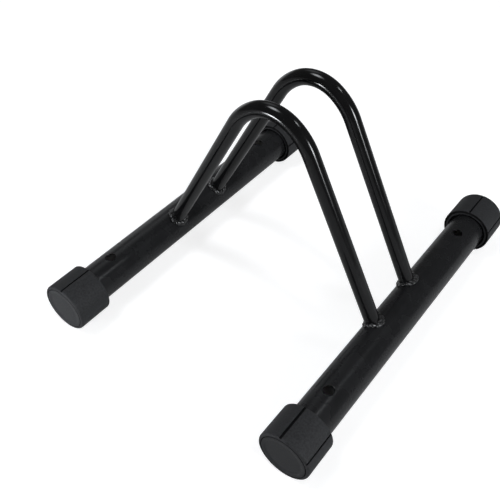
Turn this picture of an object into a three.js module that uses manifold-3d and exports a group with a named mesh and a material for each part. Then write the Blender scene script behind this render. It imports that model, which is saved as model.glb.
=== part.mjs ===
// Low floor stand. Two foot tubes lie side by side on the floor, a pair of bent tube hoops stands
// across them, and rubber caps close the four tube ends. Millimetres, +Z up. The origin is on the
// floor under the middle of the stand. X runs along the hoops, and Y runs along the foot tubes.

import * as THREE from "three";
import { mergeVertices } from "three/addons/utils/BufferGeometryUtils.js";
import Module from "manifold-3d";

const wasm = await Module();
wasm.setup();

const { degToRad } = THREE.MathUtils;

// Foot tubes: round steel tube, centre to centre along X
const footDiameter = 40;
const footWall = 1.5;
const footLength = 395;
const footSpacing = 277.2;

// Anchor holes, drilled upright through each foot tube near its ends
const anchorDiameter = 11;
const anchorInset = 66;

// Hoops: thinner round tube, side by side along Y, with legs that lean together
const hoopDiameter = 16;
const hoopWall = 1.5;
const hoopSpacing = 70;
const legLean = degToRad(27.8);
const legInset = 2.1;
const topBendRadius = 40;
const topBendHalfAngle = degToRad(32);
const shoulderBendRadius = 60;

// Weld beads round the foot of each leg
const beadRadius = 3.2;
const beadRipple = 0.3;
const ripplesPerBead = 12;

// End caps: moulded rubber, a push fit over the foot tube
const capWall = 6.7;
const capEndWall = 4;
const capLength = 39;
const capEdgeRound = 2.8;
const capMouthRound = 1.2;
const leadInWidth = 2;
const leadInDepth = 3;
const creaseWidth = 1;
const creaseDepth = 0.9;
const dishRadius = 19.5;
const dishDepth = 0.4;
const dishDraft = 0.6;
const slotWidth = 1.8;
const slotDepth = 1.3;

// Four of five even places round the cap have a slot
const slotAngles = [0, 72, 144, 216].map(degToRad);

// Fit between neighbouring pieces, and how far a cutter runs past what it cuts
const seatGap = 0.3;
const overrun = 5;

// Facets of the round forms
const footSides = 36;
const anchorSides = 20;
const hoopSides = 20;
const hoopBoreSides = 10;
const topBendSteps = 12;
const shoulderBendSteps = 6;
const beadSteps = 4 * ripplesPerBead;
const beadSides = 7;
const roundSteps = 3;

const footRadius = footDiameter / 2;
const hoopRadius = hoopDiameter / 2;
const boreRadius = footRadius + seatGap;
const capRadius = boreRadius + capWall;
const footAxisHeight = capRadius;
const capEndY = footLength / 2 + seatGap + capEndWall;

// A polygon whose flats, not its corners, lie at the radius, so that every fit is the gap at a flat
const cornerRadius = (radius, sides) => radius / Math.cos(Math.PI / sides);

function solidOf(geometry) {
  geometry.deleteAttribute("normal");
  geometry.deleteAttribute("uv");
  const merged = mergeVertices(geometry);
  return new wasm.Manifold(
    new wasm.Mesh({
      numProp: 3,
      vertProperties: merged.attributes.position.array,
      triVerts: new Uint32Array(merged.index.array),
    }),
  );
}

function geometryOf(solid) {
  const { vertProperties, triVerts } = solid.getMesh();
  const geometry = new THREE.BufferGeometry();
  geometry.setAttribute("position", new THREE.BufferAttribute(vertProperties, 3));
  geometry.setIndex(new THREE.BufferAttribute(triVerts, 1));
  return geometry.toNonIndexed();
}

// A closed profile (distance from the axis, place along it) turned about Y, with flats up and down
function turned(profile) {
  const points = profile.map(([radius, along]) => {
    return new THREE.Vector2(cornerRadius(radius, footSides), along);
  });
  return new THREE.LatheGeometry(points, footSides, Math.PI / footSides);
}

// A solid rod on the foot tube's axis, the shape that anything seated on the tube is cut to
function footRod(radius, length) {
  const end = length / 2;
  const profile = [
    [0, -end],
    [radius, -end],
    [radius, end],
    [0, end],
  ];
  return solidOf(turned(profile));
}

// The foot tube lies along Y, with an upright hole through both walls near each end
function footTube() {
  const bore = footRod(footRadius - footWall, footLength + 2 * overrun);
  let tube = footRod(footRadius, footLength).subtract(bore);
  const drillRadius = cornerRadius(anchorDiameter / 2, anchorSides);
  const drillLength = footDiameter + 2 * overrun;
  for (const side of [-1, 1]) {
    const drill = new THREE.CylinderGeometry(drillRadius, drillRadius, drillLength, anchorSides);
    drill.rotateX(Math.PI / 2);
    drill.translate(0, side * (footLength / 2 - anchorInset), 0);
    tube = tube.subtract(solidOf(drill));
  }
  return geometryOf(tube);
}

// The hoop's centre line, upright in the XZ plane. Each leg is aimed just inside the axis of its
// foot tube, and the bend is tighter over the top than at the shoulders.
const legFootX = footSpacing / 2 - legInset;
const bendStep = shoulderBendRadius - topBendRadius;
const shoulderEndX =
  shoulderBendRadius * Math.cos(legLean) - bendStep * Math.sin(topBendHalfAngle);
const shoulderEndRise =
  shoulderBendRadius * Math.sin(legLean) - bendStep * Math.cos(topBendHalfAngle);
const legRise = (legFootX - shoulderEndX) / Math.tan(legLean);
const topCentreZ = footAxisHeight + legRise - shoulderEndRise;

function legLine(side) {
  const foot = new THREE.Vector2(side * legFootX, footAxisHeight);
  const shoulder = new THREE.Vector2(side * shoulderEndX, footAxisHeight + legRise);
  return side < 0 ? new THREE.LineCurve(foot, shoulder) : new THREE.LineCurve(shoulder, foot);
}

function bendLine(centreX, centreZ, radius, from, to) {
  return new THREE.EllipseCurve(centreX, centreZ, radius, radius, from, to, true);
}

function hoopLine() {
  const shoulderX = bendStep * Math.sin(topBendHalfAngle);
  const shoulderZ = topCentreZ - bendStep * Math.cos(topBendHalfAngle);
  const leftTop = Math.PI / 2 + topBendHalfAngle;
  const rightTop = Math.PI / 2 - topBendHalfAngle;
  const line = new THREE.CurvePath();
  line.add(legLine(-1));
  line.add(bendLine(shoulderX, shoulderZ, shoulderBendRadius, Math.PI - legLean, leftTop));
  line.add(bendLine(0, topCentreZ, topBendRadius, leftTop, rightTop));
  line.add(bendLine(-shoulderX, shoulderZ, shoulderBendRadius, rightTop, legLean));
  line.add(legLine(1));
  return line;
}

// The hoop's line set upright. Its stations are the shares of its length where a ring of the tube
// lies: one at each end of a straight leg, and several round each bend.
class UprightCurve extends THREE.Curve {
  constructor(line, stepsPerStretch) {
    super();
    this.line = line;
    const ends = line.getCurveLengths();
    const whole = ends[ends.length - 1];
    this.stations = [0];
    stepsPerStretch.forEach((steps, i) => {
      const start = i > 0 ? ends[i - 1] : 0;
      for (let k = 1; k <= steps; k++) {
        this.stations.push((start + ((ends[i] - start) * k) / steps) / whole);
      }
    });
  }

  get steps() {
    return this.stations.length - 1;
  }

  getUtoTmapping(u) {
    return this.stations[Math.round(u * this.steps)];
  }

  getPoint(t, target = new THREE.Vector3()) {
    const { x, y } = this.line.getPoint(t);
    return target.set(x, 0, y);
  }
}

// A round bar bent along the hoop's line
function hoopRod(radius, sides) {
  const corner = cornerRadius(radius, sides);
  const outline = [];
  for (let i = 0; i < sides; i++) {
    const angle = (2 * Math.PI * (i + 0.5)) / sides;
    outline.push(new THREE.Vector2(corner * Math.cos(angle), corner * Math.sin(angle)));
  }
  const stepsPerStretch = [1, shoulderBendSteps, topBendSteps, shoulderBendSteps, 1];
  const extrudePath = new UprightCurve(hoopLine(), stepsPerStretch);
  const { steps } = extrudePath;
  return solidOf(new THREE.ExtrudeGeometry(new THREE.Shape(outline), { steps, extrudePath }));
}

// Both foot tubes with their fitting gap, the shape that a hoop and its welds are coped to
function footSeats() {
  const length = hoopSpacing + 2 * (hoopDiameter + overrun);
  const seat = footRod(footRadius + seatGap, length);
  const rear = seat.translate([-footSpacing / 2, 0, footAxisHeight]);
  const front = seat.translate([footSpacing / 2, 0, footAxisHeight]);
  return rear.add(front);
}

const seats = footSeats();

function hoop() {
  const bore = hoopRod(hoopRadius - hoopWall, hoopBoreSides);
  return geometryOf(hoopRod(hoopRadius, hoopSides).subtract(seats).subtract(bore));
}

// A point of the seam where the front leg's surface enters the foot tube. The angle runs round the
// leg, from the side that faces up and outward.
function seamPoint(angle) {
  const up = new THREE.Vector3(-Math.sin(legLean), 0, Math.cos(legLean));
  const out = new THREE.Vector3(Math.cos(legLean), 0, Math.sin(legLean));
  const point = new THREE.Vector3(legFootX, 0, footAxisHeight);
  point.addScaledVector(out, hoopRadius * Math.cos(angle));
  point.y = hoopRadius * Math.sin(angle);
  const dx = point.x - footSpacing / 2;
  const dz = point.z - footAxisHeight;
  const along = dx * up.x + dz * up.z;
  const past = dx * dx + dz * dz - footRadius * footRadius;
  return point.addScaledVector(up, Math.sqrt(along * along - past) - along);
}

// A rippled bead laid round the seam as one closed ring, then cut back to the leg and the tube
function bead() {
  const seam = [];
  for (let i = 0; i < beadSteps; i++) {
    seam.push(seamPoint((2 * Math.PI * i) / beadSteps));
  }
  const centre = seamPoint(0).add(seamPoint(Math.PI)).multiplyScalar(0.5);
  const positions = [];
  const indices = [];
  seam.forEach((point, i) => {
    const next = seam[(i + 1) % beadSteps];
    const last = seam[(i + beadSteps - 1) % beadSteps];
    const forward = next.clone().sub(last).normalize();
    const inward = centre.clone().sub(point);
    inward.addScaledVector(forward, -inward.dot(forward)).normalize();
    const across = forward.clone().cross(inward);
    const wave = Math.cos((2 * Math.PI * i * ripplesPerBead) / beadSteps);
    const radius = beadRadius + beadRipple * wave;
    for (let j = 0; j < beadSides; j++) {
      const angle = (2 * Math.PI * j) / beadSides;
      const corner = point.clone().addScaledVector(inward, radius * Math.cos(angle));
      corner.addScaledVector(across, radius * Math.sin(angle));
      positions.push(corner.x, corner.y, corner.z);
      const here = i * beadSides + j;
      const beside = i * beadSides + ((j + 1) % beadSides);
      const ahead = ((i + 1) % beadSteps) * beadSides + j;
      const aheadBeside = ((i + 1) % beadSteps) * beadSides + ((j + 1) % beadSides);
      indices.push(here, beside, ahead, beside, aheadBeside, ahead);
    }
  });
  const ring = new THREE.BufferGeometry();
  ring.setAttribute("position", new THREE.Float32BufferAttribute(positions, 3));
  ring.setIndex(indices);
  const leg = hoopRod(hoopRadius + seatGap, hoopSides);
  return geometryOf(solidOf(ring).subtract(seats).subtract(leg));
}

// The cap's section, from the dished middle of its end face, over the rounded edge to the mouth,
// and down the tapered lead-in and the bore to the end wall
function capProfile() {
  const edgeStart = capRadius - capEdgeRound;
  const lipStart = capRadius - capMouthRound;
  const mouthStart = capLength - capMouthRound;
  const section = new THREE.Path();
  section.moveTo(0, dishDepth);
  section.lineTo(dishRadius, dishDepth);
  section.lineTo(dishRadius + dishDraft, 0);
  section.lineTo(edgeStart - creaseWidth, 0);
  section.lineTo(edgeStart - creaseWidth / 2, creaseDepth);
  section.lineTo(edgeStart, 0);
  section.absarc(edgeStart, capEdgeRound, capEdgeRound, -Math.PI / 2, 0, false);
  section.absarc(lipStart, mouthStart, capMouthRound, 0, Math.PI / 2, false);
  section.lineTo(boreRadius + leadInWidth, capLength);
  section.lineTo(boreRadius, capLength - leadInDepth);
  section.lineTo(boreRadius, capEndWall);
  section.lineTo(0, capEndWall);
  return section.getPoints(roundSteps).map(({ x, y }) => [x, y]);
}

// One slot runs the whole length of the cap's side and out over both of its rounded edges
function slotCutter() {
  const length = capLength + 2 * overrun;
  const cutter = new THREE.BoxGeometry(slotWidth, length, slotDepth + overrun);
  return cutter.translate(0, capLength / 2, capRadius - slotDepth + (slotDepth + overrun) / 2);
}

// The cap stands with its end face at the origin and its mouth towards +Y. Its turn on the tube
// moves the slots and leaves the flat of the lowest facet on the floor.
function endCap(turn) {
  let cap = solidOf(turned(capProfile()));
  for (const angle of slotAngles) {
    cap = cap.subtract(solidOf(slotCutter().rotateY(angle + turn)));
  }
  return geometryOf(cap);
}

const footPaint = { color: 0x1d1e20, roughness: 0.42, metalness: 0.2 };
const hoopPaint = { color: 0x121314, roughness: 0.2, metalness: 0.2 };
const beadPaint = { color: 0x1a1b1c, roughness: 0.35, metalness: 0.3 };
const capRubber = { color: 0x3b3c3e, roughness: 0.8, metalness: 0 };

function piece(name, geometry, look) {
  const mesh = new THREE.Mesh(geometry, new THREE.MeshStandardMaterial(look));
  mesh.geometry.computeVertexNormals();
  mesh.name = name;
  return mesh;
}

const stand = new THREE.Group();

const ends = [
  { end: "rear", alongX: -1 },
  { end: "front", alongX: 1 },
];
const flanks = [
  { flank: "right", alongY: -1 },
  { flank: "left", alongY: 1 },
];

// How far each cap was turned as it was pushed on, in degrees
const capTurns = {
  rear_right: 147.5,
  rear_left: 214,
  front_right: 206.5,
  front_left: 219.5,
};

for (const { end, alongX } of ends) {
  const foot = piece(`${end}_foot_tube`, footTube(), footPaint);
  foot.position.set((alongX * footSpacing) / 2, 0, footAxisHeight);
  stand.add(foot);
}

for (const { flank, alongY } of flanks) {
  const arch = piece(`${flank}_hoop`, hoop(), hoopPaint);
  arch.position.y = (alongY * hoopSpacing) / 2;
  stand.add(arch);
}

for (const { end, alongX } of ends) {
  for (const { flank, alongY } of flanks) {
    const weld = piece(`${end}_${flank}_weld`, bead(), beadPaint);
    weld.rotation.z = alongX > 0 ? 0 : Math.PI;
    weld.position.y = (alongY * hoopSpacing) / 2;
    stand.add(weld);

    const turn = degToRad(capTurns[`${end}_${flank}`]);
    const cap = piece(`${end}_${flank}_cap`, endCap(turn), capRubber);
    cap.rotation.z = alongY < 0 ? 0 : Math.PI;
    cap.position.set((alongX * footSpacing) / 2, alongY * capEndY, footAxisHeight);
    stand.add(cap);
  }
}

export default stand;
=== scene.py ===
import math

import bpy
from mathutils import Matrix, Vector, noise


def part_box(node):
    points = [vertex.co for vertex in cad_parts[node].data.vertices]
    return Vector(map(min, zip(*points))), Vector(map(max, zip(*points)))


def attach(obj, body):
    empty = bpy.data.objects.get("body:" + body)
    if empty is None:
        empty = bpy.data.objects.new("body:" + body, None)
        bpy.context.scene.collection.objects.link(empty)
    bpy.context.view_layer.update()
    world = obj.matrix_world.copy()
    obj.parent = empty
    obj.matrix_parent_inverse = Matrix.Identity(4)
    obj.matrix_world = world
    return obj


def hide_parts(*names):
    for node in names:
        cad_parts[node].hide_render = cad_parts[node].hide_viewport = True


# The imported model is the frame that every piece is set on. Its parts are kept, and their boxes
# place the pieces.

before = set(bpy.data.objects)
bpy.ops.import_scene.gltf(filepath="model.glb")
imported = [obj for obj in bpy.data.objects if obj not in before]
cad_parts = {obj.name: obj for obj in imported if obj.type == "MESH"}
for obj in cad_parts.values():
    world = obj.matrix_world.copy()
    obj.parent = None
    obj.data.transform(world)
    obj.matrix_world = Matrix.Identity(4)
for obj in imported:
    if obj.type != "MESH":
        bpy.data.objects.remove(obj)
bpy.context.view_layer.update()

# Foot tubes. Two lengths of round steel tube, sawn square, drilled upright through both walls
# near each end for floor anchors, and powder coated satin black before anything is pushed on.
# Their bores stay bare.

mm = 0.001
foot_wall = 1.5 * mm
anchor_radius = 5.5 * mm
anchor_inset = 66 * mm
drilled_edge = 0.3 * mm
foot_sides = 128
patch_cells = 8
patch_rings = 4
edge_rings = 4
longest_cell = 12 * mm
tube_crease = math.radians(40)

foot_black = (0.0098, 0.0100, 0.0106, 1)
foot_haze = (0.0126, 0.0128, 0.0136, 1)
bare_dark = (0.60, 0.59, 0.58, 1)
bare_pale = (0.74, 0.73, 0.72, 1)
mottle_detail = 4
wave_detail = 2
tint_shares = (0.35, 0.65)
gloss_shares = (0.3, 0.7)


def even_places(start, end, count):
    """Places from start to end, both kept, in count even steps."""
    return [start + (end - start) * k / count for k in range(count + 1)]


def even_steps(start, end, longest):
    """Places from start to end, both kept, no further apart than longest."""
    return even_places(start, end, max(1, math.ceil((end - start) / longest)))


def strip(first, second):
    """Faces between two closed loops of points that have as many points each."""
    count = len(first)
    faces = []
    for k in range(count):
        after = (k + 1) % count
        faces.append((first[k], first[after], second[after], second[k]))
    return faces


def flipped(faces):
    """The same faces, looking the other way."""
    return [tuple(reversed(face)) for face in faces]


def foot_stations(half_length, patch, hole_places):
    """Where the foot tube's rings stand along it, and the first ring of each hole's patch."""
    stations = [-half_length]
    hole_rows = []
    for place in hole_places:
        stations += even_steps(stations[-1], place - patch, longest_cell)[1:]
        hole_rows.append(len(stations) - 1)
        stations += even_places(place - patch, place + patch, 2 * patch_cells)[1:]
    stations += even_steps(stations[-1], half_length, longest_cell)[1:]
    return stations, hole_rows


def foot_rings(points, radius, stations):
    """Adds one skin of the foot tube to the points and gives the numbers of its rings' points."""
    rings = []
    for y in stations:
        ring = []
        for i in range(foot_sides):
            turn = 2 * math.pi * i / foot_sides
            ring.append(len(points))
            points.append((radius * math.sin(turn), y, radius * math.cos(turn)))
        rings.append(ring)
    return rings


def in_patch(j, i, hole_rows):
    """Whether a cell of the foot tube gives way to the finer cells round a hole."""
    from_top = min(i, foot_sides - 1 - i)
    from_bottom = foot_sides // 2 - 1 - from_top
    along_hole = any(row <= j < row + 2 * patch_cells for row in hole_rows)
    return along_hole and min(from_top, from_bottom) < patch_cells


def foot_cells(rings, hole_rows):
    """Faces of one skin of the foot tube, left open where a hole's patch goes."""
    cells = []
    for j, (here, after) in enumerate(zip(rings, rings[1:])):
        for i in range(foot_sides):
            if not in_patch(j, i, hole_rows):
                beside = (i + 1) % foot_sides
                cells.append((here[i], here[beside], after[beside], after[i]))
    return cells


def patch_border(rings, row, column):
    """The points round the opening that is left in a skin for a hole's patch."""
    near, far = row, row + 2 * patch_cells
    left, right = column - patch_cells, column + patch_cells
    border = [rings[near][i % foot_sides] for i in range(left, right)]
    border += [rings[j][right % foot_sides] for j in range(near, far)]
    border += [rings[far][i % foot_sides] for i in range(right, left, -1)]
    border += [rings[j][left % foot_sides] for j in range(far, near, -1)]
    return border


def drilled_hole(points, borders, place, up, outer, inner):
    """Loops of points from the outer skin down the hole to the inner one, and its coated strips."""
    bearings = []
    for index in borders[0]:
        x, y, _ = points[index]
        bearings.append(math.atan2(y - place, x))

    def ring(radius, drop, reach, border_share=0.0, border=()):
        loop = []
        for k, bearing in enumerate(bearings):
            x = reach * math.cos(bearing)
            y = place + reach * math.sin(bearing)
            if border:
                border_x, border_y, _ = points[border[k]]
                x += (border_x - x) * border_share
                y += (border_y - y) * border_share
            loop.append(len(points))
            points.append((x, y, up * (math.sqrt(radius ** 2 - x ** 2) - drop)))
        return loop

    rim = anchor_radius + drilled_edge
    edge_turns = [math.pi / 2 * k / edge_rings for k in range(1, edge_rings + 1)]
    loops = [borders[0]]
    for k in range(1, patch_rings + 1):
        loops.append(ring(outer, 0, rim, 1 - k / patch_rings, borders[0]))
    for turn in edge_turns:
        reach = rim - drilled_edge * math.sin(turn)
        loops.append(ring(outer, drilled_edge * (1 - math.cos(turn)), reach))
    for turn in reversed(edge_turns):
        reach = rim - drilled_edge * math.sin(turn)
        loops.append(ring(inner, -drilled_edge * (1 - math.cos(turn)), reach))
    coated_strips = len(loops)
    for k in range(patch_rings, 0, -1):
        loops.append(ring(inner, 0, rim, 1 - k / patch_rings, borders[1]))
    loops.append(borders[1])
    return loops, coated_strips


def foot_tube(outer, inner, half_length, hole_places):
    """Points and faces of a tube along Y, with upright holes through both walls."""
    patch = outer * math.sin(2 * math.pi * patch_cells / foot_sides)
    stations, hole_rows = foot_stations(half_length, patch, hole_places)
    points = []
    outside = foot_rings(points, outer, stations)
    inside = foot_rings(points, inner, stations)
    coated = foot_cells(outside, hole_rows)
    bare = flipped(foot_cells(inside, hole_rows))
    coated += flipped(strip(outside[0], inside[0]))
    coated += strip(outside[-1], inside[-1])
    for place, row in zip(hole_places, hole_rows):
        for column, up in ((0, 1), (foot_sides // 2, -1)):
            borders = [patch_border(rings, row, column) for rings in (outside, inside)]
            loops, coated_strips = drilled_hole(points, borders, place, up, outer, inner)
            for k, (first, second) in enumerate(zip(loops, loops[1:])):
                if k < coated_strips:
                    coated += strip(first, second)
                else:
                    bare += strip(first, second)
    return points, coated, bare


def add_piece(name, points, finishes, node, crease=tube_crease):
    """A smooth-shaded mesh piece that stands for a CAD node and rides on the stand."""
    mesh = bpy.data.meshes.new(name)
    mesh.from_pydata(points, [], [face for faces, _ in finishes for face in faces])
    mesh.polygons.foreach_set("use_smooth", [True] * len(mesh.polygons))
    mesh.set_sharp_from_angle(angle=crease)
    numbers = []
    for number, (faces, material) in enumerate(finishes):
        mesh.materials.append(material)
        numbers += [number] * len(faces)
    mesh.polygons.foreach_set("material_index", numbers)
    piece = bpy.data.objects.new(name, mesh)
    bpy.context.scene.collection.objects.link(piece)
    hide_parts(node)
    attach(piece, "root")


def grain(nodes, links, place, size, detail):
    """Fine noise whose cells are about size across."""
    texture = nodes.new("ShaderNodeTexNoise")
    texture.inputs["Scale"].default_value = 1 / size
    texture.inputs["Detail"].default_value = detail
    links.new(place.outputs["Object"], texture.inputs["Vector"])
    return texture


def tint_drift(nodes, links, patches, dark, pale):
    """A colour that drifts from dark to pale with the patches."""
    ramp = nodes.new("ShaderNodeValToRGB")
    for stop, share, colour in zip(ramp.color_ramp.elements, tint_shares, (dark, pale)):
        stop.position = share
        stop.color = colour
    links.new(patches.outputs["Fac"], ramp.inputs["Fac"])
    return ramp


def gloss_drift(nodes, links, patches, low, high):
    """A roughness that drifts from low to high with the patches."""
    first_share, last_share = gloss_shares
    spread = nodes.new("ShaderNodeMapRange")
    spread.inputs["From Min"].default_value = first_share
    spread.inputs["From Max"].default_value = last_share
    spread.inputs["To Min"].default_value = low
    spread.inputs["To Max"].default_value = high
    links.new(patches.outputs["Fac"], spread.inputs["Value"])
    return spread


def finish(name, dark, pale, roughness, mottle, waves, wave_height, specular):
    """A finish whose colour and gloss drift a little, with fine waves in its surface."""
    material = bpy.data.materials.new(name)
    material.use_nodes = True
    nodes, links = material.node_tree.nodes, material.node_tree.links
    shader = nodes["Principled BSDF"]
    shader.inputs["Specular IOR Level"].default_value = specular
    place = nodes.new("ShaderNodeTexCoord")
    patches = grain(nodes, links, place, mottle, mottle_detail)
    tint = tint_drift(nodes, links, patches, dark, pale)
    links.new(tint.outputs["Color"], shader.inputs["Base Color"])
    gloss = gloss_drift(nodes, links, patches, *roughness)
    links.new(gloss.outputs["Result"], shader.inputs["Roughness"])
    peel = grain(nodes, links, place, waves, wave_detail)
    relief = nodes.new("ShaderNodeBump")
    relief.inputs["Distance"].default_value = wave_height
    links.new(peel.outputs["Fac"], relief.inputs["Height"])
    links.new(relief.outputs["Normal"], shader.inputs["Normal"])
    return material


foot_coat = finish(
    "satin black coat", foot_black, foot_haze,
    roughness=(0.24, 0.30), mottle=18 * mm, waves=1.6 * mm, wave_height=0.006 * mm, specular=0.24,
)
foot_bore = finish(
    "bare steel", bare_dark, bare_pale,
    roughness=(0.5, 0.7), mottle=9 * mm, waves=0.8 * mm, wave_height=0.03 * mm, specular=0.5,
)

foot_axis = {}
for end in ("rear", "front"):
    node = f"{end}_foot_tube"
    low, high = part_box(node)
    foot_axis[end] = (low + high) / 2
    foot_radius = (high.z - low.z) / 2
    half_length = (high.y - low.y) / 2
    hole_place = half_length - anchor_inset
    points, coated, bare = foot_tube(
        foot_radius, foot_radius - foot_wall, half_length, (-hole_place, hole_place)
    )
    points = [Vector(point) + foot_axis[end] for point in points]
    add_piece(f"{node}_skin", points, [(coated, foot_coat), (bare, foot_bore)], node)

# Hoops. Each is one length of thinner round tube, bent cold to a tight radius over the top that
# eases at the shoulders, its legs coped to saddle the foot tubes and coated gloss black.

hoop_wall = 1.5 * mm
leg_lean = math.radians(27.8)
top_bend_radius = 40 * mm
top_bend_half_angle = math.radians(32)
shoulder_bend_radius = 60 * mm
cope_gap = 0.1 * mm
hoop_sides = 56
bend_step = math.radians(1.5)
longest_leg_cell = 6 * mm

hoop_black = (0.0036, 0.0036, 0.0038, 1)
hoop_haze = (0.0050, 0.0050, 0.0053, 1)

hoop_low, hoop_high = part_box("right_hoop")
hoop_radius = (hoop_high.y - hoop_low.y) / 2
apex_height = hoop_high.z - hoop_radius
leg_heading = math.pi / 2 - leg_lean


def bend_point(heading):
    """Where the hoop's middle line lies as its heading swings from leg to leg, as (x, z)."""
    swing = abs(heading)
    tight = min(swing, top_bend_half_angle)
    out = top_bend_radius * math.sin(tight)
    out += shoulder_bend_radius * (math.sin(swing) - math.sin(tight))
    down = top_bend_radius * (1 - math.cos(tight))
    down += shoulder_bend_radius * (math.cos(tight) - math.cos(swing))
    return -math.copysign(out, heading), apex_height - down


def hoop_ring(heading, radius):
    """One ring of the bent tube, square to its middle line."""
    x, z = bend_point(heading)
    ring = []
    for j in range(hoop_sides):
        turn = 2 * math.pi * j / hoop_sides
        rise = radius * math.cos(turn)
        aside = radius * math.sin(turn)
        ring.append(Vector((x - rise * math.sin(heading), aside, z + rise * math.cos(heading))))
    return ring


def cope_length(start, heading, seat_radius):
    """How far a line down the rear leg runs from start to the foot tube that it stands on."""
    axis = foot_axis["rear"]
    away = Vector((start.x - axis.x, start.z - axis.z))
    along = away.dot(Vector((math.cos(heading), math.sin(heading))))
    return along - math.sqrt(along ** 2 - away.length_squared + seat_radius ** 2)


def hoop_skin(radius):
    """Rings of one skin of the hoop, from the rear leg's cope over the bend to the front leg's."""
    shoulder = hoop_ring(leg_heading, radius)
    downhill = -Vector((math.cos(leg_heading), 0, math.sin(leg_heading)))
    seat = foot_radius + cope_gap
    lengths = [cope_length(point, leg_heading, seat) for point in shoulder]
    count = math.ceil(max(lengths) / longest_leg_cell)
    rear = []
    for k in range(count, 0, -1):
        drops = [downhill * (length * k / count) for length in lengths]
        rear.append([point + drop for point, drop in zip(shoulder, drops)])
    bends = math.ceil(leg_heading / bend_step)
    for k in range(bends):
        rear.append(hoop_ring(leg_heading * (1 - k / bends), radius))
    front = [[Vector((-x, y, z)) for x, y, z in ring] for ring in reversed(rear)]
    return rear + [hoop_ring(0, radius)] + front


def hoop_tube():
    """Points and faces of the hollow hoop, its two coped ends closed from skin to skin."""
    points = []
    skins = []
    for radius in (hoop_radius, hoop_radius - hoop_wall):
        rings = []
        for ring in hoop_skin(radius):
            rings.append(list(range(len(points), len(points) + len(ring))))
            points += ring
        skins.append(rings)
    faces = []
    outer, inner = skins
    for first, second in zip(outer, outer[1:]):
        faces += flipped(strip(first, second))
    for first, second in zip(inner, inner[1:]):
        faces += strip(first, second)
    faces += strip(outer[0], inner[0])
    faces += flipped(strip(outer[-1], inner[-1]))
    return points, faces


hoop_coat = finish(
    "gloss black coat", hoop_black, hoop_haze,
    roughness=(0.11, 0.15), mottle=14 * mm, waves=2.2 * mm, wave_height=0.006 * mm, specular=0.3,
)

hoop_place = {}
for flank in ("right", "left"):
    node = f"{flank}_hoop"
    low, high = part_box(node)
    hoop_place[flank] = (low.y + high.y) / 2
    points, faces = hoop_tube()
    points = [point + Vector((0, hoop_place[flank], 0)) for point in points]
    add_piece(f"{node}_skin", points, [(faces, hoop_coat)], node)

# Weld beads. A hand-laid fillet runs once round the foot of each leg, in overlapping ripples, and
# is coated with the tubes. The coat pools a little over it, so its crests glint.

leg_inset = 2.1 * mm
bead_leg = 3.0 * mm
bead_reach = 3.0 * mm
bead_spread = 1.1 * mm
bead_bulge = 0.9 * mm
bead_sink = 0.12 * mm
ripple_pitch = 3.8 * mm
ripple_height = 0.8 * mm
ripple_bow_share = 0.5
lump_share = 1.5
lump_spread = 0.9
scallop_share = 0.35
wander_share = 0.16
wander_spread = 2
shake_share = 0.3
shake_spread = 5
shake_seed = 7
flank_seed = 10
bead_steps = 360
bead_section_steps = 12
bead_look_ahead = 0.01
bead_crease = math.radians(75)

bead_leg_radius = hoop_radius - bead_sink
bead_seat_radius = foot_radius - bead_sink
leg_up = Vector((-math.sin(leg_lean), 0, math.cos(leg_lean)))
leg_out = Vector((math.cos(leg_lean), 0, math.sin(leg_lean)))


def saddle_point(turn):
    """Where the front leg's surface meets the foot tube, turned from the side that faces out."""
    axis = foot_axis["front"]
    point = Vector((axis.x - leg_inset, 0, axis.z)) + leg_out * (bead_leg_radius * math.cos(turn))
    point.y = bead_leg_radius * math.sin(turn)
    away = Vector((point.x - axis.x, point.z - axis.z))
    along = away.dot(Vector((leg_up.x, leg_up.z)))
    rise = math.sqrt(along ** 2 - away.length_squared + bead_seat_radius ** 2) - along
    return point + leg_up * rise


def on_foot_tube(point):
    """The point moved straight in or out onto the front foot tube, where the bead's toe lies."""
    axis = foot_axis["front"]
    away = Vector((point.x - axis.x, 0, point.z - axis.z)).normalized() * bead_seat_radius
    return Vector((axis.x + away.x, point.y, axis.z + away.z))


def bead_lie(turn, seed):
    """The bead's root, its toes on leg and foot tube, and the way it bulges, at one turn."""
    root = saddle_point(turn)
    around = (saddle_point(turn + bead_look_ahead) - saddle_point(turn - bead_look_ahead)).normalized()
    axis = foot_axis["front"]
    face = Vector((root.x - axis.x, 0, root.z - axis.z)).normalized()
    outward = around.cross(face).normalized()
    wander = noise.noise(Vector((wander_spread * math.cos(turn), wander_spread * math.sin(turn), seed)))
    leg_toe = root + leg_up * (bead_leg * (1 + wander_share * wander))
    reach = (bead_reach + bead_spread * max(0, math.cos(turn)) ** 2) * (1 - wander_share * wander)
    return root, leg_toe, on_foot_tube(root + outward * reach), (leg_up + outward).normalized()


def weld_bead(seed):
    """Points and faces of one closed ring of weld, laid round the front leg's foot."""
    ripples = round(2 * math.pi * hoop_radius / ripple_pitch)
    points = []
    rings = []
    for i in range(bead_steps):
        turn = 2 * math.pi * i / bead_steps
        root, leg_toe, foot_toe, bulge_way = bead_lie(turn, seed)
        shake_place = (shake_spread * math.cos(turn), shake_spread * math.sin(turn), seed + shake_seed)
        shake = shake_share * noise.noise(Vector(shake_place))
        ring = [root]
        for k in range(bead_section_steps + 1):
            share = k / bead_section_steps
            across = 2 * share - 1
            phase = ripples * i / bead_steps + ripple_bow_share * across ** 2 + shake
            crown = 1 - across ** 2
            lump = noise.noise(Vector((lump_spread * (math.floor(phase) % ripples), seed, 0)))
            ripple = abs(math.sin(math.pi * phase)) * (1 + lump_share * lump)
            lift = bead_bulge * crown + ripple_height * math.sqrt(crown) * ripple
            skirt = (foot_toe - root) * (scallop_share * share * crown * ripple)
            ring.append(leg_toe.lerp(foot_toe, share) + bulge_way * lift + skirt)
        rings.append(list(range(len(points), len(points) + len(ring))))
        points += ring
    faces = []
    for first, second in zip(rings, rings[1:] + rings[:1]):
        faces += strip(first, second)
    return points, faces


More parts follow.
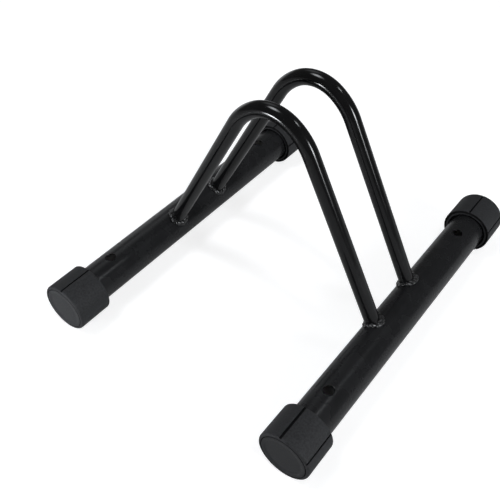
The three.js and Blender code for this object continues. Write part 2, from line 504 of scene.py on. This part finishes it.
bead_coat = finish(
    "coat over weld", hoop_black, foot_haze,
    roughness=(0.08, 0.40), mottle=5 * mm, waves=1.6 * mm, wave_height=0.22 * mm, specular=0.7,
)

for end, side in (("rear", -1), ("front", 1)):
    for flank in ("right", "left"):
        node = f"{end}_{flank}_weld"
        y = hoop_place[flank]
        points, faces = weld_bead(side + flank_seed * y / hoop_radius)
        points = [Vector((side * p.x, side * p.y + y, p.z)) for p in points]
        add_piece(f"{node}_bead", points, [(faces, bead_coat)], node, bead_crease)

# End caps. Thick cups moulded in charcoal rubber and pushed over the tube ends, which the whole
# stand rests on. Each has a dished end with a fine crease round it, four slots down its side and
# a rounded mouth with a rebate. Shade is painted near black into the crease, the slots, the lip of
# the mouth, the rebate and the lead-in.

cap_wall = 6.7 * mm
cap_end_wall = 4 * mm
cap_edge_round = 2.6 * mm
cap_mouth_round = 1.2 * mm
rebate_width = 1.5 * mm
rebate_depth = 0.5 * mm
rebate_slope = 0.15 * mm
lead_in_width = 2 * mm
lead_in_depth = 3 * mm
crease_width = 0.9 * mm
crease_margin = 2.9 * mm
crease_depth = 0.9 * mm
crease_lip = 0.12 * mm
dish_radius = 19.5 * mm
dish_depth = 0.4 * mm
dish_draft = 0.6 * mm
dish_rings = 6
edge_steps = 10
mouth_steps = 8
# Steps at the outer end of the mouth's round that get painted shade, with the rebate and lead-in.
shaded_mouth_steps = 4
side_cell = 3 * mm
slot_half_width = 0.9 * mm
wide_slot_half_width = 1.3 * mm
slot_depth = 1.3 * mm
slot_soft_share = 0.16
# Shares of the slot depth that pick the faces inside the slots that get painted shade.
slot_side_share = 0.5
slot_shade_share = 0.25
slot_cell_shares = (0, 0.5, 0.8, 0.88, 0.94, 1.0, 1.06, 1.12, 1.2, 1.6, 2.4)
cap_cell = math.radians(2.5)
slot_count = 4
wide_slot = ("front_right_cap", 2)

# Sweeps, the slots' pitch and each cap's turn on its tube are in degrees.

edge_sweep = (-90, 0)
mouth_sweep = (0, 90)
slot_pitch = 72
cap_turns = {
    "rear_right_cap": 147.5,
    "rear_left_cap": 214,
    "front_right_cap": 206.5,
    "front_left_cap": 219.5,
}

rubber_dark = (0.0186, 0.0189, 0.0199, 1)
rubber_pale = (0.0308, 0.0313, 0.0330, 1)
# Near black for the painted shade in the crease, the slots, the mouth's lip, the rebate and the lead-in.
painted_shade_dark = (0.0030, 0.0031, 0.0034, 1)
painted_shade_pale = (0.0050, 0.0051, 0.0054, 1)


def arc(middle_r, middle_y, radius, sweep, steps):
    """Points of a round in the cap's section, as (distance from the axis, distance along it)."""
    start, end = sweep
    points = []
    for k in range(steps + 1):
        turn = math.radians(start + (end - start) * k / steps)
        points.append((middle_r + radius * math.cos(turn), middle_y + radius * math.sin(turn)))
    return points


def cap_section(radius, bore, length):
    """The cap's outline from its dish over its outside and down its bore, with the rows that get painted
    shade.
    """
    edge = radius - cap_edge_round
    lip = radius - cap_mouth_round
    crease = radius - crease_margin - crease_width / 2
    rebate = lip - rebate_width
    section = [(dish_radius * k / dish_rings, dish_depth) for k in range(1, dish_rings + 1)]
    section += [(dish_radius + dish_draft / 2, dish_depth / 2), (dish_radius + dish_draft, 0)]
    section += [(crease - crease_width / 2 - crease_lip, 0), (crease - crease_width / 2, crease_lip)]
    crease_start = len(section) - 1
    section += [(crease - crease_lip, crease_depth), (crease + crease_lip, crease_depth)]
    section += [(crease + crease_width / 2, crease_lip)]
    crease_end = len(section) - 1
    section += [(crease + crease_width / 2 + crease_lip, 0), (edge, 0)]
    section += arc(edge, cap_edge_round, cap_edge_round, edge_sweep, edge_steps)[1:]
    section += [(radius, y) for y in even_steps(cap_edge_round, length - cap_mouth_round, side_cell)[1:]]
    section += arc(lip, length - cap_mouth_round, cap_mouth_round, mouth_sweep, mouth_steps)[1:]
    outside = len(section) - 1
    section += [(lip - rebate_slope, length - rebate_depth), (rebate, length - rebate_depth)]
    section += [(rebate - rebate_slope, length)]
    rebate_end = len(section) - 1
    section += [(bore + lead_in_width, length)]
    lead_in = len(section) - 1
    section += [(bore, length - lead_in_depth), (bore, length / 2)]
    section += [(bore, cap_end_wall), (bore / 2, cap_end_wall)]
    # The crease, the outer end of the mouth's round, the rebate and the lead-in get painted shade.
    crease_rows = list(range(crease_start, crease_end))
    mouth_rows = list(range(outside - shaded_mouth_steps, rebate_end))
    return section, outside, crease_rows + mouth_rows + [lead_in]


def cap_bearings(slots):
    """Bearings round the cap, crowded where a slot's sides stand and even between slots."""
    bearings = []
    first, first_half = slots[0]
    for here, after in zip(slots, slots[1:] + [(first + 2 * math.pi, first_half)]):
        near = [share * here[1] for share in slot_cell_shares]
        next_near = [share * after[1] for share in slot_cell_shares]
        bearings += [here[0] + step for step in near]
        bearings += even_steps(here[0] + near[-1], after[0] - next_near[-1], cap_cell)[1:]
        bearings += [after[0] - step for step in reversed(next_near[1:-1])]
    return bearings


def slot_cut(bearing, slots):
    """How deep the slots cut into the cap's side at a bearing."""
    depth = 0
    for slot, half in slots:
        off = abs((bearing - slot + math.pi) % (2 * math.pi) - math.pi) / half
        soft = min(1, max(0, (1 + slot_soft_share - off) / (2 * slot_soft_share)))
        depth = max(depth, slot_depth * soft * soft * (3 - 2 * soft))
    return depth


def rubber_cap(radius, bore, length, slots):
    """Points and faces of a cap that stands with its end face at the origin, its mouth to +Y."""
    section, outside, shade_rows = cap_section(radius, bore, length)
    bearings = cap_bearings(slots)
    cuts = [slot_cut(bearing, slots) for bearing in bearings]
    points = [Vector((0, dish_depth, 0))]
    rings = []
    for row, (r, y) in enumerate(section):
        ring = []
        for bearing, cut in zip(bearings, cuts):
            reach = min(r, radius - cut) if row <= outside else r
            ring.append(len(points))
            points.append(Vector((reach * math.sin(bearing), y, reach * math.cos(bearing))))
        rings.append(ring)
    bore_middle = len(points)
    points.append(Vector((0, cap_end_wall, 0)))
    clean = []
    dark = []
    count = len(bearings)
    for k in range(count):
        after = (k + 1) % count
        clean.append((0, rings[0][after], rings[0][k]))
        clean.append((bore_middle, rings[-1][k], rings[-1][after]))
    for row, (first, second) in enumerate(zip(rings, rings[1:])):
        at_side = section[row][0] > radius - slot_depth * slot_side_share and row < outside
        for k, face in enumerate(flipped(strip(second, first))):
            in_slot = min(cuts[k], cuts[(k + 1) % count]) > slot_depth * slot_shade_share
            # Faces in the crease, the mouth's lip, the rebate, the lead-in and the slots get painted
            # shade.
            if row in shade_rows or (at_side and in_slot):
                dark.append(face)
            else:
                clean.append(face)
    return points, clean, dark


cap_rubber = finish(
    "charcoal rubber", rubber_dark, rubber_pale,
    roughness=(0.50, 0.70), mottle=1.8 * mm, waves=0.6 * mm, wave_height=0.08 * mm, specular=0.17,
)
# This finish paints shade into the crease, the slots, the mouth's lip, the rebate and the lead-in.
painted_groove_shade = finish(
    "rubber with painted shade in the grooves", painted_shade_dark, painted_shade_pale,
    roughness=(0.75, 0.9), mottle=1.2 * mm, waves=0.35 * mm, wave_height=0.05 * mm, specular=0.1,
)

for end in ("rear", "front"):
    for flank, way in (("right", 1), ("left", -1)):
        node = f"{end}_{flank}_cap"
        low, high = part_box(node)
        cap_radius = (high.z - low.z) / 2
        cap_length = high.y - low.y
        slots = []
        for k in range(slot_count):
            half_width = wide_slot_half_width if (node, k) == wide_slot else slot_half_width
            bearing = math.radians(k * slot_pitch + cap_turns[node]) % (2 * math.pi)
            slots.append((bearing, half_width / cap_radius))
        points, clean, dark = rubber_cap(cap_radius, cap_radius - cap_wall, cap_length, sorted(slots))
        base = Vector(((low.x + high.x) / 2, low.y if way > 0 else high.y, (low.z + high.z) / 2))
        points = [base + Vector((way * p.x, way * p.y, p.z)) for p in points]
        # The second finish paints shade on the faces in the crease, slots, mouth lip, rebate and
        # lead-in.
        finishes = [(clean, cap_rubber), (dark, painted_groove_shade)]
        add_piece(f"{node}_rubber", points, finishes, node)

# Floor. A plain pale sheet that fills the view and carries the stand's soft shadow. The camera
# sees it white, the gloss of the tubes mirrors it light grey, and it glows more far off, where
# little light falls on it, so that no horizon shows.

floor_half_width = 6.0
floor_drop = 0.05 * mm
floor_white = (0.50, 0.50, 0.50, 1)
floor_roughness = 0.9
floor_glow_colour = (1, 1, 1, 1)
floor_glow = 0.74
floor_far_glow = 0.93
floor_gloss_glow = 0.133
fade_start = 900 * mm
fade_end = 2400 * mm

floor_mesh = bpy.data.meshes.new("floor")
floor_corners = [(-1, -1), (1, -1), (1, 1), (-1, 1)]
floor_points = [(x * floor_half_width, y * floor_half_width, -floor_drop) for x, y in floor_corners]
floor_mesh.from_pydata(floor_points, [], [(0, 1, 2, 3)])
floor = bpy.data.objects.new("floor", floor_mesh)
bpy.context.scene.collection.objects.link(floor)

floor_material = bpy.data.materials.new("pale floor")
floor_material.use_nodes = True
nodes, links = floor_material.node_tree.nodes, floor_material.node_tree.links
shader = nodes["Principled BSDF"]
shader.inputs["Base Color"].default_value = floor_white
shader.inputs["Roughness"].default_value = floor_roughness
shader.inputs["Specular IOR Level"].default_value = 0
shader.inputs["Emission Color"].default_value = floor_glow_colour
ray = nodes.new("ShaderNodeLightPath")
mirrored = nodes.new("ShaderNodeMath")
mirrored.operation = "MAXIMUM"
links.new(ray.outputs["Is Glossy Ray"], mirrored.inputs[0])
links.new(ray.outputs["Is Transmission Ray"], mirrored.inputs[1])
place = nodes.new("ShaderNodeTexCoord")
away = nodes.new("ShaderNodeVectorMath")
away.operation = "LENGTH"
links.new(place.outputs["Object"], away.inputs[0])
fade = nodes.new("ShaderNodeMapRange")
fade.inputs["From Min"].default_value = fade_start
fade.inputs["From Max"].default_value = fade_end
fade.inputs["To Min"].default_value = floor_glow
fade.inputs["To Max"].default_value = floor_far_glow
links.new(away.outputs["Value"], fade.inputs["Value"])
seen = nodes.new("ShaderNodeMath")
seen.operation = "MULTIPLY"
links.new(ray.outputs["Is Camera Ray"], seen.inputs[0])
links.new(fade.outputs["Result"], seen.inputs[1])
glow = nodes.new("ShaderNodeMath")
glow.operation = "MULTIPLY_ADD"
glow.inputs[1].default_value = floor_gloss_glow
links.new(mirrored.outputs["Value"], glow.inputs[0])
links.new(seen.outputs["Value"], glow.inputs[2])
links.new(glow.outputs["Value"], shader.inputs["Emission Strength"])
floor_mesh.materials.append(floor_material)

# Light. Seven soft boxes in a plain room. Five stand where the long streaks on the hoops, the line
# along the foot tubes and the light on the caps show them, and two weak ones at the left make the
# soft grey side of the rear tube.

stand_middle = Vector((0, 0, 120 * mm))
lamp_blue = (0.94, 0.965, 1.0)
lamp_middle = (0.5, 0.5, 0)
lamp_core_share = 0.05
lamp_edge_share = 0.5


def lamp(name, bearing, height, distance, width, length, level):
    """A soft box that faces the stand and fades to its edges. Bearing and height are in degrees."""
    light = bpy.data.lights.new(name, "AREA")
    light.shape = "RECTANGLE"
    light.size = width
    light.size_y = length
    light.energy = level * math.pi * width * length
    light.color = lamp_blue
    light.use_nodes = True
    nodes, links = light.node_tree.nodes, light.node_tree.links
    spot = nodes.new("ShaderNodeNewGeometry")
    off = nodes.new("ShaderNodeVectorMath")
    off.operation = "DISTANCE"
    off.inputs[1].default_value = lamp_middle
    links.new(spot.outputs["Parametric"], off.inputs[0])
    fade = nodes.new("ShaderNodeMapRange")
    fade.interpolation_type = "SMOOTHSTEP"
    fade.inputs["From Min"].default_value = lamp_core_share
    fade.inputs["From Max"].default_value = lamp_edge_share
    fade.inputs["To Min"].default_value = 1
    fade.inputs["To Max"].default_value = 0
    links.new(off.outputs["Value"], fade.inputs["Value"])
    links.new(fade.outputs["Result"], nodes["Emission"].inputs["Strength"])
    post = bpy.data.objects.new(name, light)
    bpy.context.scene.collection.objects.link(post)
    flat = math.cos(math.radians(height))
    way = Vector((
        flat * math.cos(math.radians(bearing)),
        flat * math.sin(math.radians(bearing)),
        math.sin(math.radians(height)),
    ))
    aim = way.to_track_quat("Z", "Y").to_matrix().to_4x4()
    post.matrix_world = Matrix.Translation(stand_middle + way * distance) @ aim


lamp("top_lamp", bearing=-150, height=65, distance=2.5, width=1.5, length=1.4, level=13.6)
lamp("front_lamp", bearing=-115.5, height=-5, distance=0.68, width=0.16, length=0.19, level=80)
lamp("back_lamp", bearing=28.3, height=60.5, distance=0.855, width=0.17, length=0.16, level=25)
lamp("back_glow", bearing=50, height=54.5, distance=0.95, width=0.20, length=0.30, level=1.6)
lamp("right_lamp", bearing=-6.5, height=20.5, distance=2.4, width=0.64, length=1.54, level=46)
lamp("left_screen", bearing=160, height=5, distance=0.75, width=0.9, length=0.5, level=0.75)
lamp("left_wall", bearing=140, height=47, distance=2.6, width=1.9, length=1.9, level=0.92)

room_white = (1, 1, 1, 1)
room_level = 0.12
room_level_seen = 1.0

world = bpy.data.worlds.new("room")
bpy.context.scene.world = world
world.use_nodes = True
nodes, links = world.node_tree.nodes, world.node_tree.links
background = nodes["Background"]
background.inputs["Color"].default_value = room_white
ray = nodes.new("ShaderNodeLightPath")
room = nodes.new("ShaderNodeMapRange")
room.inputs["To Min"].default_value = room_level
room.inputs["To Max"].default_value = room_level_seen
links.new(ray.outputs["Is Camera Ray"], room.inputs["Value"])
links.new(room.outputs["Result"], background.inputs["Strength"])

# Camera. It looks down over the near ends of the foot tubes, from the height, bearing and
# distance that the photograph was taken from.

camera_place = Vector((300.90, -464.38, 575.56)) * mm
camera_bearing = math.radians(37.16)
camera_pitch = math.radians(44.24)
camera_roll = math.radians(-0.39)
film_width = 36
lens_length = 50.42
near_clip = 10 * mm

camera_data = bpy.data.cameras.new("camera")
camera_data.sensor_fit = "HORIZONTAL"
camera_data.sensor_width = film_width
camera_data.lens = lens_length
camera_data.clip_start = near_clip
camera = bpy.data.objects.new("camera", camera_data)
bpy.context.scene.collection.objects.link(camera)
camera.matrix_world = (
    Matrix.Translation(camera_place)
    @ Matrix.Rotation(camera_bearing, 4, "Z")
    @ Matrix.Rotation(math.pi / 2 - camera_pitch, 4, "X")
    @ Matrix.Rotation(-camera_roll, 4, "Z")
)
bpy.context.scene.camera = camera
bpy.context.scene.view_settings.view_transform = "Standard"
